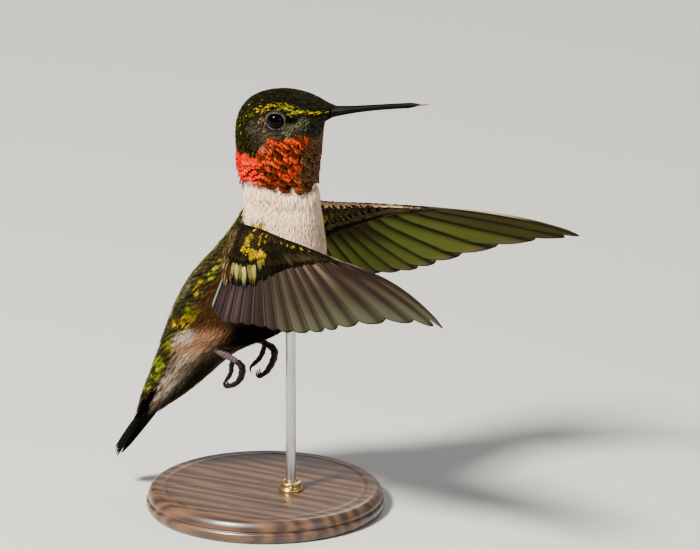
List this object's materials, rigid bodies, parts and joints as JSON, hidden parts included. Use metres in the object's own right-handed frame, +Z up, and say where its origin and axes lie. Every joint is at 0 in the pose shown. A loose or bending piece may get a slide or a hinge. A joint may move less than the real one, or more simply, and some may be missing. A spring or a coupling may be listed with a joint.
{
  "type": "ruby-throated hummingbird model",
  "caption": "Life-size still model of an adult male ruby-throated hummingbird, hovering upright with its wings swept forward, on a round display stand with one rod.",
  "frame": {"origin": "centre of the underside of the stand's round base", "axes": "+X the way the bird faces, along its bill; +Y its left side; +Z up"},
  "size_m": [0.0692, 0.0526, 0.0713],
  "materials": {
    "crown_feathers": "blackish green with gold edges",
    "collar_feathers": "soft off-white, with a brilliant red gorget above",
    "back_feathers": "dark olive with gold-green sheen",
    "flank_feathers": "soft rufous brown to olive",
    "undertail_feathers": "soft greyish white with brown smudges",
    "wing_coverts": "dark olive with gold edges",
    "primary_feathers": "brown vanes with dark shafts",
    "secondary_feathers": "brown vanes with a purple sheen",
    "tail_feathers": "black with a faint purple sheen",
    "bill": "black, slightly glossy horn",
    "tongue": "thin brown tip",
    "eye": "black, wet gloss",
    "foot": "blackish scaled skin",
    "base_wood": "dark, waxed",
    "rod_steel": "satin",
    "collar_brass": "satin"
  },
  "bodies": {
    "root": {"head": "crown_feathers", "neck": "collar_feathers", "breast": "back_feathers", "belly": "flank_feathers", "tail_coverts": "undertail_feathers", "eye_left": "eye", "eye_right": "eye", "bill": "bill", "tongue_tip": "tongue", "wing_left_arm": "wing_coverts", "wing_left_secondary_1": "secondary_feathers", "wing_left_secondary_2": "secondary_feathers", "wing_left_secondary_3": "secondary_feathers", "wing_left_secondary_4": "secondary_feathers", "wing_left_secondary_5": "secondary_feathers", "wing_left_secondary_6": "secondary_feathers", "wing_left_primary_1": "primary_feathers", "wing_left_primary_2": "primary_feathers", "wing_left_primary_3": "primary_feathers", "wing_left_primary_4": "primary_feathers", "wing_left_primary_5": "primary_feathers", "wing_left_primary_6": "primary_feathers", "wing_left_primary_7": "primary_feathers", "wing_left_primary_8": "primary_feathers", "wing_left_primary_9": "primary_feathers", "wing_left_primary_10": "primary_feathers", "foot_left": "foot", "tail_left_inner": "tail_feathers", "tail_left_middle": "tail_feathers", "tail_left_outer": "tail_feathers", "wing_right_arm": "wing_coverts", "wing_right_secondary_1": "secondary_feathers", "wing_right_secondary_2": "secondary_feathers", "wing_right_secondary_3": "secondary_feathers", "wing_right_secondary_4": "secondary_feathers", "wing_right_secondary_5": "secondary_feathers", "wing_right_secondary_6": "secondary_feathers", "wing_right_primary_1": "primary_feathers", "wing_right_primary_2": "primary_feathers", "wing_right_primary_3": "primary_feathers", "wing_right_primary_4": "primary_feathers", "wing_right_primary_5": "primary_feathers", "wing_right_primary_6": "primary_feathers", "wing_right_primary_7": "primary_feathers", "wing_right_primary_8": "primary_feathers", "wing_right_primary_9": "primary_feathers", "wing_right_primary_10": "primary_feathers", "foot_right": "foot", "tail_right_inner": "tail_feathers", "tail_right_middle": "tail_feathers", "tail_right_outer": "tail_feathers", "stand_base": "base_wood", "stand_rod": "rod_steel", "stand_collar": "collar_brass"}
  },
  "joints": []
}
